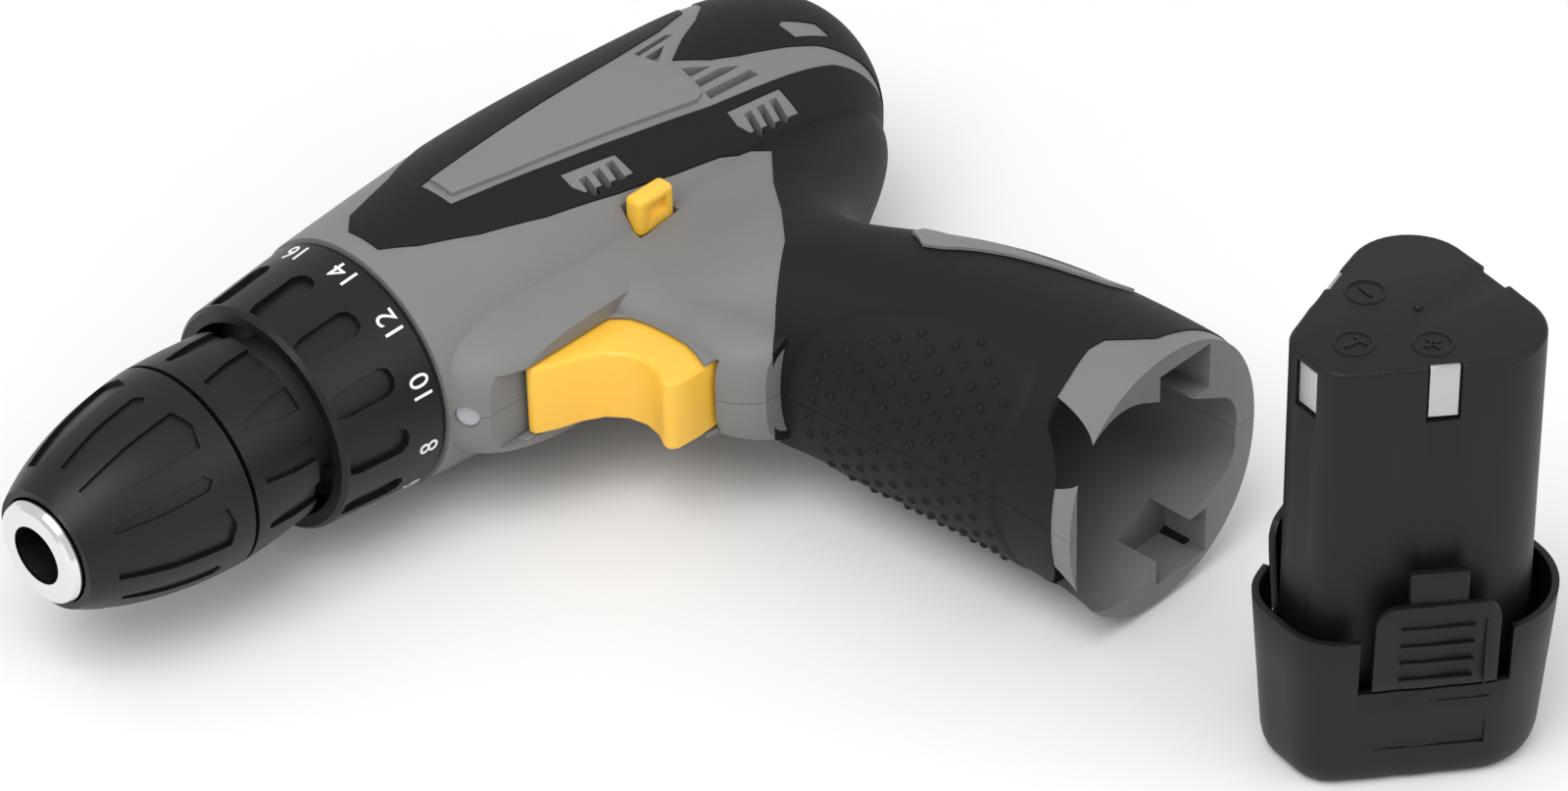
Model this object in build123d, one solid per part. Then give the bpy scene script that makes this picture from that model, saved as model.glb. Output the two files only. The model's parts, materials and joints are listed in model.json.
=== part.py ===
"""Compact cordless drill lying on its right side, with its battery pack standing beside the grip.

Every piece is drawn in the drill's own frame: X runs back along the barrel from the front edge of the
housing, Y points from the grip towards the barrel, and Z points out of the left side. The last step moves
it all so that the origin is the bottom centre of the whole object and +Z is up.
"""
import os
from math import cos, pi, radians, sin, tan

from build123d import *

# ---- driving dimensions, millimetres -------------------------------------------------------------
FLOOR = -25.19                   # the drill rests on this side plane
NOSE_X = -67.5                   # front face of the chuck
COLLAR_FRONT_X = -20.8
COLLAR_BACK_X = -0.35
WALL = 2.4                       # moulded housing wall
SKIN = 1.1                       # soft overmould thickness
SKIN_PROUD = 0.25                # overmould stands this far above the hard shell
PARTING = 0.05                   # half the gap along the clamshell joint
MOUTH_Y = -117.0                 # mouth of the battery socket
SOCKET_TOP_Y = -69.5
SOCKET_X = 60.2                  # axis of the battery socket
SOCKET_CLEARANCE = 0.5

BARREL = [(0, 22.2), (14, 23.3), (34, 24.4), (56, 24.3), (80, 23.2), (98, 20.8), (108.5, 15.5), (113, 6.5)]
# grip sections: height, front edge, rear edge, half width
GRIP = [(-8, 20, 111, 14.0), (-19, 24, 104.5, 13.6), (-28, 29, 95.0, 14.2), (-36, 33, 81.0, 16.2),
        (-46, 37.4, 73.2, 18.6), (-58, 40.2, 76.6, 20.2), (-72, 41.2, 83.2, 21.5), (-86, 42.2, 86.4, 22.2),
        (-99, 42.8, 87.0, 22.8), (-109, 42.6, 86.6, 23.4), (MOUTH_Y, 41.6, 85.8, 23.9)]
# narrower forms under the barrel and behind the trigger, in the same terms
FAIRING = [(-12, 0.2, 62, 15.0), (-20, 0.2, 60, 13.0), (-25.5, 2.6, 58, 11.6), (-29.2, 8.6, 56, 10.0)]
THROAT = [(-22, 27, 62, 11.5), (-33, 30.8, 62, 11.0), (-42, 31.4, 62, 10.8), (-50, 31.6, 62, 10.6),
          (-57, 36.5, 62, 10.2)]
GRIP_POWER = 2.15                # superellipse exponent of the grip sections
THROAT_POWER = 3.6

PACK_X, PACK_Y = 67.2, -161.2    # where the battery pack stands
PACK_TURN = 167.5                # direction of its narrow corner
PACK_HEIGHT = 77.5
CUP_HEIGHT = 30.0
CELL_R, CELL_LENGTH = 9.1, 65.0
CELL_RING = 10.55                # cell centres from the pack axis
LOBE_R = 10.05
LOBE_TURN = 127.5                # round lobes, either side of the narrow corner
APEX_REACH = 20.6                # pack axis to its flattened narrow corner
APEX_HALF = 5.2
LATCH_TURN = 62.0                # the two latches, either side of the narrow corner
LATCH_HALF = 9.4

GEAR_MODULE = 0.7
SUN_TEETH, PLANET_TEETH = 12, 15
RING_TEETH = SUN_TEETH + 2 * PLANET_TEETH
PLANET_ORBIT = GEAR_MODULE * (SUN_TEETH + PLANET_TEETH) / 2
STAGE_X = (17.2, 7.2)            # front faces of the first and second stage gears
GEAR_WIDTH = 5.6

JAW_ANGLE = 15.0                 # between each jaw's path and the barrel axis
JAW_R = 2.2
JAW_LENGTH = 18.0
JAW_FRONT_X = -50.0              # tips of the fully open jaws
HOLE_R = 5.1

TRIGGER_HALF = 6.7
SCREWS = [(34, 20.9), (97.5, 13.6), (96.5, -15.2), (48.5, -59.5), (71.5, -59)]

SIZE_X = (NOSE_X, 113.25)
SIZE_Y = (-183.8, 24.51)
SHIFT = Pos(-sum(SIZE_X) / 2, -sum(SIZE_Y) / 2, -FLOOR)


# ---- helpers -------------------------------------------------------------------------------------
def save(name, *solids):
    """Write one node, moved into the shared frame."""
    shape = solids[0] if len(solids) == 1 else Compound(children=list(solids))
    export_step(SHIFT * shape, f"parts/{name}.step")


def lathe(points):
    """Turned solid about the barrel axis from a closed outline of (x, radius) points."""
    return revolve(make_face(Polyline(*points, close=True)), axis=Axis.X)


def smooth_lathe(points, inner=0.0):
    """Turned solid whose outer line is a smooth curve through (x, radius) points."""
    first, last = points[0], points[-1]
    outer = Spline(*points)
    rest = Polyline(last, (last[0], inner), (first[0], inner), first)
    return revolve(make_face(outer + rest), axis=Axis.X)


def tube(x0, x1, r_in, r_out):
    """Straight tube, or a rod when the inner radius is zero, along the barrel axis."""
    return lathe([(x0, r_in), (x1, r_in), (x1, r_out), (x0, r_out)])


def rod(x0, x1, r, y=0.0, z=0.0):
    """Round rod parallel to the barrel axis."""
    return Pos(0, y, z) * tube(x0, x1, 0, r)


def block(x, y, z):
    """Box from three (low, high) pairs."""
    size = [b - a for a, b in (x, y, z)]
    middle = [(a + b) / 2 for a, b in (x, y, z)]
    return Pos(*middle) * Box(*size)


def around(shape, count, start=0.0):
    """Copies of a shape turned about the barrel axis."""
    return [Rot(start + 360 * i / count, 0, 0) * shape for i in range(count)]


def section(y, front, back, half, power=GRIP_POWER, count=20):
    """Closed superellipse face in a plane across the grip."""
    mid, reach = (front + back) / 2, (back - front) / 2
    points = []
    for i in range(count):
        c, s = cos(2 * pi * i / count), sin(2 * pi * i / count)
        x = mid + reach * abs(c) ** (2 / power) * (1 if c > 0 else -1)
        z = half * abs(s) ** (2 / power) * (1 if s > 0 else -1)
        points.append((x, y, z))
    return make_face(Spline(*points, periodic=True))


def grip(shrink=0.0, rows=GRIP, power=GRIP_POWER):
    """Lofted grip, drawn in by an even amount."""
    faces = [section(y, f + shrink, b - shrink, w - shrink, power) for y, f, b, w in rows]
    return loft(faces)


def barrel(shrink=0.0):
    """Turned motor housing, drawn in by an even amount."""
    points = [(x - (shrink if x > 100 else 0), r - shrink) for x, r in BARREL]
    return smooth_lathe(points)


def body(shrink=0.0):
    """Whole outer form of the housing."""
    throat = grip(shrink, FAIRING, THROAT_POWER) + grip(shrink, THROAT, THROAT_POWER)
    return barrel(shrink) + grip(shrink) + throat


def spring(pitch, length, r, wire_r):
    """Coil spring along the barrel axis, starting at x = 0."""
    coil = Rot(0, 90, 0) * Helix(pitch, length, r)
    return sweep(Plane(origin=coil @ 0, z_dir=coil % 0) * Circle(wire_r), path=coil)


def side_prism(points, low=-60.0, high=60.0):
    """Solid that covers a side-view outline right through the width."""
    return Pos(0, 0, low) * extrude(make_face(Polyline(*points, close=True)), high - low)


def gear(teeth, width, x, outside=True, backlash=0.12):
    """Toothed disc on the barrel axis, with a tooth centred on +Y. The inside form cuts a ring gear."""
    pitch = GEAR_MODULE * teeth / 2
    tip = pitch + GEAR_MODULE * (0.85 if outside else 1.15)
    root = pitch - GEAR_MODULE * (1.2 if outside else 0.85)
    step = 2 * pi / teeth
    side = backlash / pitch / 2
    half = step / 4 - side if outside else step / 4 + side
    slope = tan(radians(20))
    points = []
    for i in range(teeth):
        for r, sign in ((root, -1), (tip, -1), (tip, 1), (root, 1)):
            angle = i * step + sign * (half - (r - pitch) * slope / pitch)
            points.append((r * cos(angle), r * sin(angle)))
    blank = extrude(make_face(Polyline(*points, close=True)), width)
    return Pos(x, 0, 0) * Rot(0, 90, 0) * Rot(0, 0, 90) * blank


def half(shape, side):
    """Left (+1) or right (-1) part of a shape, cut at the clamshell joint."""
    low, high = (PARTING, 70) if side > 0 else (-70, -PARTING)
    return shape & block((-90, 130), (-140, 60), (low, high))


# ---- pack outline --------------------------------------------------------------------------------
def pack_reach(turn, grow):
    """Distance from the pack axis to its rounded triangular outline, in one direction."""
    spots = [(CELL_RING * cos(radians(a)), CELL_RING * sin(radians(a))) for a in (LOBE_TURN, -LOBE_TURN)]
    spots += [(APEX_REACH - LOBE_R * 0.55, s * APEX_HALF * 0.5) for s in (1, -1)]
    radii = (LOBE_R, LOBE_R, LOBE_R * 0.55, LOBE_R * 0.55)
    reaches = []
    for step in range(-84, 86, 2):
        n = turn + radians(step)
        support = max(x * cos(n) + y * sin(n) + r for (x, y), r in zip(spots, radii)) + grow
        reaches.append(support / cos(n - turn))
    return min(reaches)


def pack_outline(grow=0.0, z=0.0, count=36):
    """Rounded triangle of the pack: two round lobes and one flattened narrow corner towards +X."""
    turns = [2 * pi * i / count for i in range(count)]
    points = [(pack_reach(a, grow) * cos(a), pack_reach(a, grow) * sin(a), z) for a in turns]
    return make_face(Spline(*points, periodic=True))


# ---- chuck ---------------------------------------------------------------------------------------
FRONT_SLEEVE = [(-65.6, 10.4), (-62, 12.3), (-55, 14.9), (-46, 16.9), (-37.8, 17.75)]
REAR_SLEEVE = [(-37.0, 17.75), (-30, 17.5), (-23.4, 16.9)]


def sleeve_pockets(profile, depth, count, start, x0, x1, width0, width1):
    """Shallow pockets sunk into a sleeve, each tapering from one width to another."""
    skin = smooth_lathe([(x, r + 1) for x, r in profile]) - smooth_lathe([(x, r - depth) for x, r in profile])
    mid = (x0 + x1) / 2
    outline = [(x0, -width0 / 2), (mid, -(width0 + width1) / 4 - 0.4), (x1, -width1 / 2), (x1 + 1.2, 0),
               (x1, width1 / 2), (mid, (width0 + width1) / 4 + 0.4), (x0, width0 / 2)]
    wedge = side_prism(outline, 4, 30)
    return around(wedge & skin, count, start)


def jaw_line(low, high, r):
    """Round bar along the slanted path of the jaw on the +Y side, from its open tip."""
    return Pos(JAW_FRONT_X, HOLE_R + 0.25 + JAW_R, 0) * Rot(0, 0, JAW_ANGLE) * tube(low, high, 0, r)


def jaw():
    """One gripping jaw, fully open: a slanted rod whose inner side is cut to a 120 degree edge."""
    apex = HOLE_R + 0.2
    wedge = make_face(Polyline((apex, -0.5), (apex, 0.5), (apex + 9.6, 17), (22, 17), (22, -17),
                               (apex + 9.6, -17), close=True))
    keep = Pos(JAW_FRONT_X, 0, 0) * Rot(0, 90, 0) * Rot(0, 0, 90) * extrude(wedge, 30)
    return jaw_line(-2, JAW_LENGTH, JAW_R) & keep


def make_chuck():
    chuck_body = lathe([(-67.0, HOLE_R), (-67.0, 7.6), (-64.5, 8.1), (-50, 10.4), (-39, 12.2),
                        (-25.5, 11.2), (-25.5, 4.78), (-42.0, 4.78), (-42.0, HOLE_R)])
    for bore in around(jaw_line(-24, 26, JAW_R + 0.08), 3):
        chuck_body -= bore
    chuck_body -= lathe([(-46.2, 9.6), (-46.2, 14), (-39.8, 14), (-39.8, 9.6)])
    save("chuck_body", chuck_body)
    nose = lathe([(-67.5, HOLE_R), (-67.5, 7.9), (-67.1, 8.6), (-66.2, 8.95), (-65.9, 8.95), (-65.9, 8.25),
                  (-64.6, 8.2), (-67.05, 7.7), (-67.05, HOLE_R)])
    save("chuck_nose_ring", nose)

    shell = smooth_lathe(FRONT_SLEEVE) - lathe([(-66.5, 0), (-66.5, 9.0), (-62, 10.2), (-52, 13.2), (-43.6, 15.4),
                                                (-37, 15.4), (-37, 0)])
    shell -= lathe([(-66, 0), (-66, 8.5), (-64.4, 8.5), (-64.4, 0)])
    for pocket in sleeve_pockets(FRONT_SLEEVE, 0.75, 6, 90, -61.5, -42.5, 3.6, 7.4):
        shell -= pocket
    for pocket in sleeve_pockets(FRONT_SLEEVE, 0.5, 6, 120, -60.5, -44.5, 1.0, 2.6):
        shell -= pocket
    save("chuck_front_sleeve", shell)

    rear = smooth_lathe(REAR_SLEEVE) - tube(-38, -22, 0, 14.6)
    rear += tube(-25.2, -23.4, 11.35, 14.8)
    for pocket in sleeve_pockets(REAR_SLEEVE, 0.8, 12, 15, -34.5, -22.0, 1.2, 4.6):
        rear -= pocket
    save("chuck_rear_sleeve", rear)

    save("chuck_nut", lathe([(-46, 11.1), (-46, 14.2), (-40, 15.1), (-40, 12.75)]))
    for index, solid in enumerate(around(jaw(), 3), 1):
        save(f"chuck_jaw_{index}", solid)
    screw = tube(-41.5, -38.6, 0, 3.6) + tube(-38.6, -24, 0, 2.2)
    screw -= block((-42, -40.2), (-0.5, 0.5), (-3, 3)) + block((-42, -40.2), (-3, 3), (-0.5, 0.5))
    save("chuck_retaining_screw", screw)


# ---- gearbox and clutch --------------------------------------------------------------------------
def planet(x):
    """Planet gear with its bore; its odd tooth count leaves a gap facing the sun's tooth."""
    wheel = gear(PLANET_TEETH, GEAR_WIDTH, x)
    return Pos(0, PLANET_ORBIT, 0) * (wheel - tube(x - 1, x + 8, 0, 1.55))


def make_gearbox():
    spindle = rod(-36, -21.2, 4.72) + tube(-21.2, 3.6, 0, 6.0) + tube(3.6, 6.2, 0, PLANET_ORBIT + 3.4)
    spindle -= tube(-37, -23.5, 0, 2.25)
    for pin in around(rod(6.1, 13.0, 1.5, PLANET_ORBIT), 3):
        spindle += pin
    save("spindle", spindle)
    save("spindle_bearing", tube(-19.0, -14.5, 6.04, 9.9))

    stage = tube(14.0, 16.4, 0, PLANET_ORBIT + 3.4) + gear(SUN_TEETH, 6.6, 7.4)
    for pin in around(rod(16.3, 23.0, 1.5, PLANET_ORBIT), 3):
        stage += pin
    save("first_stage_carrier", stage)
    save("motor_pinion", gear(SUN_TEETH, 7.9, 17.0) - tube(16, 27, 0, 1.6))

    for stage_name, x in zip(("first", "second"), STAGE_X):
        for index, wheel in enumerate(around(planet(x), 3), 1):
            save(f"{stage_name}_stage_planet_{index}", wheel)
        ring = tube(x - 0.2, x + GEAR_WIDTH + 0.2, 0, 17.2)
        ring -= gear(RING_TEETH, GEAR_WIDTH + 2, x - 1, outside=False)
        if stage_name == "second":
            ring += tube(2.8, x - 0.1, 15.6, 17.1)
        else:
            ring += tube(x + 5.0, x + GEAR_WIDTH + 0.2, 16.9, 17.35)
        save(f"{stage_name}_stage_ring_gear", ring)

    case = lathe([(-20.4, 9.95), (-20.4, 12.0), (0.3, 12.0), (0.3, 19.2), (25.2, 19.2), (25.2, 17.4),
                  (2.6, 17.4), (2.6, 8.2), (-14.0, 8.2), (-14.0, 9.95)])
    for hole in around(rod(-1, 3.6, 2.05, 14.6), 6, 30):
        case -= hole
    for lug in around(block((10, 14), (18.9, 19.7), (-3, 3)), 4, 45):
        case += lug
    save("gearbox_case", case)
    balls = around(Pos(0.7, 14.6, 0) * Sphere(2.0), 6, 30)
    save("clutch_balls", *balls)
    save("clutch_washer", tube(-3.0, -1.4, 12.3, 16.9))
    save("clutch_spring", Pos(-10.2, 0, 0) * spring(1.7, 6.5, 14.6, 0.55))
    save("clutch_nut", tube(-14.6, -11.0, 12.06, 16.6))

    plate = tube(25.4, 27.4, 0, 18.6) - tube(24, 29, 0, 4.4)
    for hole in around(rod(24, 29, 1.6, 8.0), 2):
        plate -= hole
    save("gearbox_cover", plate)


def make_collar():
    line = [(COLLAR_FRONT_X, 19.2), (-20.0, 19.9), (-10, 20.9), (-1.2, 21.7), (COLLAR_BACK_X, 21.4)]
    collar = lathe(line + [(COLLAR_BACK_X, 19.4), (-2.0, 19.4), (-2.0, 18.0), (-18.6, 17.4), (-18.6, 17.3),
                           (COLLAR_FRONT_X, 17.3)])
    pocket_line = [(COLLAR_FRONT_X, 19.4), (-10, 20.9), (-7, 21.1)]
    skin = smooth_lathe([(x, r + 1.5) for x, r in pocket_line]) - smooth_lathe([(x, r - 1.0) for x, r in pocket_line])
    cutter = side_prism([(-19.6, -1.6), (-17.8, -2.2), (-9.6, -2.4), (-8.2, -1.6), (-7.8, 0), (-8.2, 1.6),
                         (-9.6, 2.4), (-17.8, 2.2), (-19.6, 1.6)], 5, 30) & skin
    for pocket in around(cutter, 12):
        collar -= pocket
    collar -= tube(-4, -1.4, 17, 18.1)
    save("torque_collar", collar)


# ---- motor ---------------------------------------------------------------------------------------
def make_motor():
    can = tube(27.8, 84, 0, 17.4) - tube(29.2, 85, 0, 16.2) - tube(27, 30, 0, 3.2)
    can += tube(27.6, 29.2, 3.25, 6.4)
    save("motor_can", can)
    save("motor_end_cap", tube(84.1, 91, 0, 17.4) - tube(84, 88.5, 0, 15.2) - tube(84, 92, 0, 1.7))
    magnet = tube(34, 78, 13.2, 16.1) - block((30, 90), (-20, 4), (-20, 20))
    save("motor_magnets", *around(magnet, 2))
    shaft = tube(18.0, 93.5, 0, 1.55)
    core = tube(38, 74, 1.5, 12.6)
    for slot in around(block((37, 75), (6.5, 14), (-1.0, 1.0)), 5):
        core -= slot
    save("motor_armature", shaft + core + tube(78, 84.5, 1.5, 5.6))
    brushes = [block((79.5, 83.5), (5.9, 13.0), (-2.2, 2.2)), block((79.5, 83.5), (-13.0, -5.9), (-2.2, 2.2))]
    save("motor_brushes", *brushes)
    save("motor_bushing", tube(29.3, 33, 1.62, 5.0))


# ---- housing -------------------------------------------------------------------------------------
# side-view outlines of the black and grey areas, each cut right through the width
STRIPE = [(3.6, 3.2), (7, 6.6), (18.3, 9.8), (30, 15.5), (38, 19.2), (48, 21.5), (60, 32), (120, 32), (120, -34),
          (104, -34), (86, -38), (70, -52), (76, -62), (95, -66), (96, -114.4), (84, -114.4), (76, -113.8),
          (71.1, -113.3), (66.6, -112.6), (63.8, -109.7), (61.4, -106.5), (58.5, -105.7), (52.9, -106.5),
          (48.4, -106.6), (46.9, -107.6), (45.2, -110.5), (43.5, -112.4), (36, -112.8),
          (34, -59.0), (38.3, -57.0), (43.4, -53.0), (52, -47.0), (60.0, -38.5), (67, -30), (74.5, -22.4),
          (72, -20.0), (66, -18.9), (56, -18.2), (44.2, -16.9), (30.4, -14.6), (18.7, -11.4), (9, -7.4),
          (3.5, -3.8)]
FRAME = [(18.8, 2.4), (18.9, -4.6), (23, -5.5), (39, -8.6), (54, -10.9), (70, -12.9), (85, -13.8), (98, -14.6),
         (106, -16.2), (120, -18.0), (120, 32), (96, 32), (91, 16), (86, 9.2), (77.7, 6.6), (66.6, 5.4), (48, 4.4)]
BADGE = [(20.6, 1.9), (20.4, -3.4), (30.4, -5.8), (45.1, -8.2), (60.3, -10.4), (68.4, -11.4), (70.3, -10.7),
         (70.0, -4.0), (67.2, 3.9), (46, 3.2)]
DOME = [(71.9, -2.4), (77.1, -5.9), (82, -7.7), (87.3, -9.0), (93, -10.3), (98, -11.4), (103, -13.2),
        (108, -14.6), (120, -16.0), (120, 32), (99.5, 32), (94.5, 16), (89.4, 8.0), (83.9, 4.0), (78, 1.2)]
SLOTS = [[(71.6, -4.6), (76.4, -7.0), (71.4, -7.0)], [(71.3, -8.0), (77.5, -8.0), (80.9, -9.3), (71.3, -9.4)],
         [(71.2, -10.4), (81.8, -10.6), (82.6, -11.9), (71.2, -11.9)],
         [(69.2, 3.9), (77.4, 4.7), (78.2, 3.6), (69.2, 2.7)], [(69.4, 1.6), (74.4, 2.0), (69.7, -1.2)]]
# comb vents: window in the skin, then the first tooth gap and its height
COMBS = [([(37.4, -10.6), (48.4, -12.2), (49.2, -15.8), (39.0, -14.7), (37.6, -13.2)], 39.7, -14.2),
         ([(72.0, -14.6), (84.1, -15.0), (85.2, -18.6), (73.8, -18.2), (72.2, -16.8)], 74.9, -17.3)]
REAR_WINDOW = [(94.0, -5.7), (95.4, -4.9), (101.2, -7.2), (101.8, -10.2), (94.6, -8.9)]
SELECTOR_X = (43.8, 52.2)
SELECTOR_Y = (-22.2, -18.4)


def inner_space():
    """Everything that the two housing halves are hollowed by."""
    space = barrel(WALL) + tube(-5, 3, 0, 19.9)
    rows = [(y, f + WALL, b - WALL, w - WALL) for y, f, b, w in GRIP[1:7]]
    space += loft([section(*row) for row in rows])
    return space & block((-5, 120), (SOCKET_TOP_Y + 2.6, 60), (-40, 40))


def socket_prism(grow, low, high):
    """Pack outline as a prism along the grip, with its axis through the origin."""
    outline = Rot(90, 0, 0) * pack_outline(grow)
    return Pos(0, low, 0) * extrude(outline, high - low, dir=(0, 1, 0))


def socket(grow, low, high):
    """Battery socket as a prism across the grip."""
    return Pos(SOCKET_X, 0, 0) * socket_prism(grow, low, high)


def selector_window(extra):
    """Openings for the direction selector in both sides."""
    x = (SELECTOR_X[0] - extra, SELECTOR_X[1] + extra)
    y = (SELECTOR_Y[0] - extra, SELECTOR_Y[1] + extra)
    return [block(x, y, (8, 40)), block(x, y, (-40, -8))]


def side_vents():
    """Gaps between the teeth of the comb vents, right through each side."""
    gaps = []
    for _, x, y in COMBS:
        gaps += [block((x + 3.0 * i, x + 3.0 * i + 1.7), (y - 1.6, y + 1.6), (-40, 40)) for i in range(3)]
    return gaps


def both_sides(outline):
    """Prism of a side-view outline that leaves the middle of the width alone."""
    return side_prism(outline, 5, 60) + side_prism(outline, -60, -5)


def make_housing():
    outer = body(0)
    skin_space = body(-SKIN_PROUD) - body(SKIN)
    badge, dome = both_sides(BADGE), side_prism(DOME)
    black = side_prism(STRIPE) - side_prism(FRAME)
    for window, _, _ in COMBS:
        black -= side_prism(window)
    dome -= side_prism(REAR_WINDOW)
    soft, cover = skin_space & black, skin_space & dome
    badge_skin = (body(-0.7) - body(SKIN)) & badge

    groove = outer - body(SKIN + 0.12)
    shell = outer
    for area in (black, dome, badge):
        shell -= groove & area
    shell -= inner_space()
    rest = tube(27.5, 30, 17.5, 24) + tube(88, 90.5, 17.6, 23) + tube(10.5, 13.5, 19.8, 24)
    shell += rest & barrel(1.5)
    for x, y in SCREWS:
        shell += (Pos(x, y, 0) * Cylinder(3.0, 60)) & body(1.5)
    shell -= socket(SOCKET_CLEARANCE, MOUTH_Y - 6, SOCKET_TOP_Y)
    for sign in (1, -1):
        shell -= block((62.5, 74.5), (MOUTH_Y - 2, MOUTH_Y + 8.5), sorted((sign * 12, sign * 20.6)))
    shallow = outer - body(1.5)
    for outline in SLOTS:
        shell -= both_sides(outline) & shallow

    half_slot = TRIGGER_HALF + 0.45
    cuts = [block((2, 48), (-50.4, -27.0), (-half_slot, half_slot)), *selector_window(0.35), *side_vents()]
    for cut in cuts:
        shell -= cut
        soft -= cut
    for x, y in SCREWS:
        hole = Pos(x, y, -41.5) * Cylinder(3.0, 60) + Pos(x, y, -30) * Cylinder(1.35, 70)
        shell -= hole
        soft -= hole
        cover -= hole
    shell -= lamp_bore(2.1, 14)

    for side, label in ((1, "left"), (-1, "right")):
        save(f"housing_{label}", half(shell, side))
        save(f"grip_overmould_{label}", half(soft, side))
        save(f"rear_cover_{label}", half(cover, side))
        save(f"side_panel_{label}", half(badge_skin, side))


def make_terminals():
    """Terminal block in the roof of the battery socket, with its three spring clips."""
    plate = Pos(SOCKET_X, 0, 0) * socket_prism(-1.5, SOCKET_TOP_Y - 3.0, SOCKET_TOP_Y - 0.05)
    save("terminal_block", plate)
    clips = []
    for turn in (0, LATCH_TURN, -LATCH_TURN):
        reach = pack_reach(radians(turn), 0)
        clip = block((reach - 3.2, reach - 2.6), (-1.6, 1.6), (0.05, 2.4))
        clips.append(Pos(SOCKET_X, SOCKET_TOP_Y - 3.05, 0) * Rot(90, 0, 0) * Rot(0, 0, turn) * clip)
    save("terminal_clips", *clips)


def lamp_bore(r, length, back=0.0):
    """Bar on the axis of the work lamp, which looks forward and down."""
    return Pos(2.4, -23.9, 0) * Rot(0, 0, 28) * Pos(back, 0, 0) * Rot(0, 90, 0) * Cylinder(r, length)


def make_screws():
    screws = []
    for x, y in SCREWS:
        head = Pos(x, y, -12.6) * Cylinder(2.6, 2.0)
        shank = Pos(x, y, -6.0) * Cylinder(1.3, 11.4)
        screws.append(head + shank)
    save("housing_screws", *screws)


# ---- controls ------------------------------------------------------------------------------------
def make_controls():
    """Trigger, switch, direction selector and lamp."""
    face = [(11.3, -27.6), (11.6, -29.2), (15, -31.0), (21, -33.8), (24.6, -37.6), (25.2, -42.0), (23.0, -47.0),
            (24.0, -48.6), (31.5, -49.4), (36, -49.4), (40, -44), (40, -27.6)]
    trigger = side_prism(face, -TRIGGER_HALF, TRIGGER_HALF)
    trigger = fillet(trigger.edges().filter_by(Axis.Z).group_by(Axis.X)[0], 0.8)
    trigger += rod(39.9, 50, 2.5, -36)
    save("trigger", trigger)
    switch = block((49, 68), (-47, -26.5), (-8, 8)) - rod(47, 60, 2.56, -36)
    save("trigger_switch", switch)
    save("trigger_spring", Pos(40.6, -36, 0) * spring(2.0, 7.9, 3.8, 0.4))

    selector = block((46.0, 50.5), (-21.9, -19.0), (-9.0, 9.0))
    for sign in (1, -1):
        button = block(SELECTOR_X, SELECTOR_Y, sorted((sign * 8.9, sign * 16.4)))
        button = fillet(button.edges().filter_by(Axis.Z), 1.4)
        recess = block((46.0, 50.4), (-23, -21.0), sorted((sign * 12.4, sign * 14.8)))
        selector += button - recess
    save("direction_selector", Pos(0, 0, 2.2) * selector)
    save("work_lamp", lamp_bore(2.0, 3.0, 1.5))


# ---- battery pack --------------------------------------------------------------------------------
def in_pack(shape):
    """Move a piece from the pack's own frame, standing on its base, to where the pack stands."""
    return Pos(PACK_X, PACK_Y, FLOOR) * Rot(0, 0, PACK_TURN) * shape


def pack_prism(grow, low, high):
    return extrude(pack_outline(grow, low), high - low)


def cup_form(grow, low=0.0):
    """Base cup with rounded foot, wider towards its rim."""
    rows = [(0, 0.0), (0.7, 0.9), (2, 1.5), (4.5, 1.9), (14, 2.3), (44, 3.6)]
    return loft([pack_outline(g + grow, z + low) for z, g in rows], ruled=True)


def latch_wedge(turn, half_width, low, high):
    """Block that covers one latch, out from the pack axis."""
    return Rot(0, 0, turn) * block((10, 40), (-half_width, half_width), (low, high))


def make_pack():
    case = pack_prism(0, 3.2, PACK_HEIGHT)
    case -= pack_prism(-0.85, 5.0, PACK_HEIGHT - 1.4)
    plates = []
    for turn in (0, LATCH_TURN, -LATCH_TURN):
        reach = pack_reach(radians(turn), 0)
        case -= Rot(0, 0, turn) * block((reach - 0.7, reach + 2), (-2.6, 2.6), (PACK_HEIGHT - 9.5, PACK_HEIGHT + 1))
        plates.append(Rot(0, 0, turn) * block((reach - 0.65, reach - 0.2), (-2.3, 2.3),
                                              (PACK_HEIGHT - 9.2, PACK_HEIGHT - 0.3)))
    case -= Rot(0, 0, 180) * block((pack_reach(pi, 0) - 1.2, 30), (-3, 3), (PACK_HEIGHT - 1.2, PACK_HEIGHT + 1))
    save("battery_case", in_pack(case))
    save("battery_contacts", *[in_pack(plate) for plate in plates])

    wall = cup_form(0) - cup_form(-1.5, 2.0)
    cup = wall & block((-40, 40), (-40, 40), (-1, CUP_HEIGHT))
    tabs = []
    for turn in (LATCH_TURN, -LATCH_TURN):
        cup -= latch_wedge(turn, LATCH_HALF + 1.3, 19.5, 60)
        tab = wall & latch_wedge(turn, LATCH_HALF, 19.9, CUP_HEIGHT + 6)
        reach = pack_reach(radians(turn), 0)
        tab += Rot(0, 0, turn) * block((reach + 1.5, reach + 3.0), (-4.4, 4.4), (27, CUP_HEIGHT + 12))
        tabs.append(tab)
    save("battery_base", in_pack(cup - pack_prism(0.05, 3.1, 80)))
    save("battery_latch_left", in_pack(tabs[1]))
    save("battery_latch_right", in_pack(tabs[0]))
    cells = [Rot(0, 0, a) * Pos(r, 0, 6 + CELL_LENGTH / 2) * Cylinder(CELL_R - 0.1, CELL_LENGTH)
             for a, r in ((0, CELL_RING - 1.2), (LOBE_TURN, CELL_RING), (-LOBE_TURN, CELL_RING))]
    save("battery_cells", *[in_pack(c) for c in cells])


if __name__ == "__main__":
    os.makedirs("parts", exist_ok=True)
    make_chuck()
    make_gearbox()
    make_collar()
    make_motor()
    make_housing()
    make_terminals()
    make_screws()
    make_controls()
    make_pack()
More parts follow.
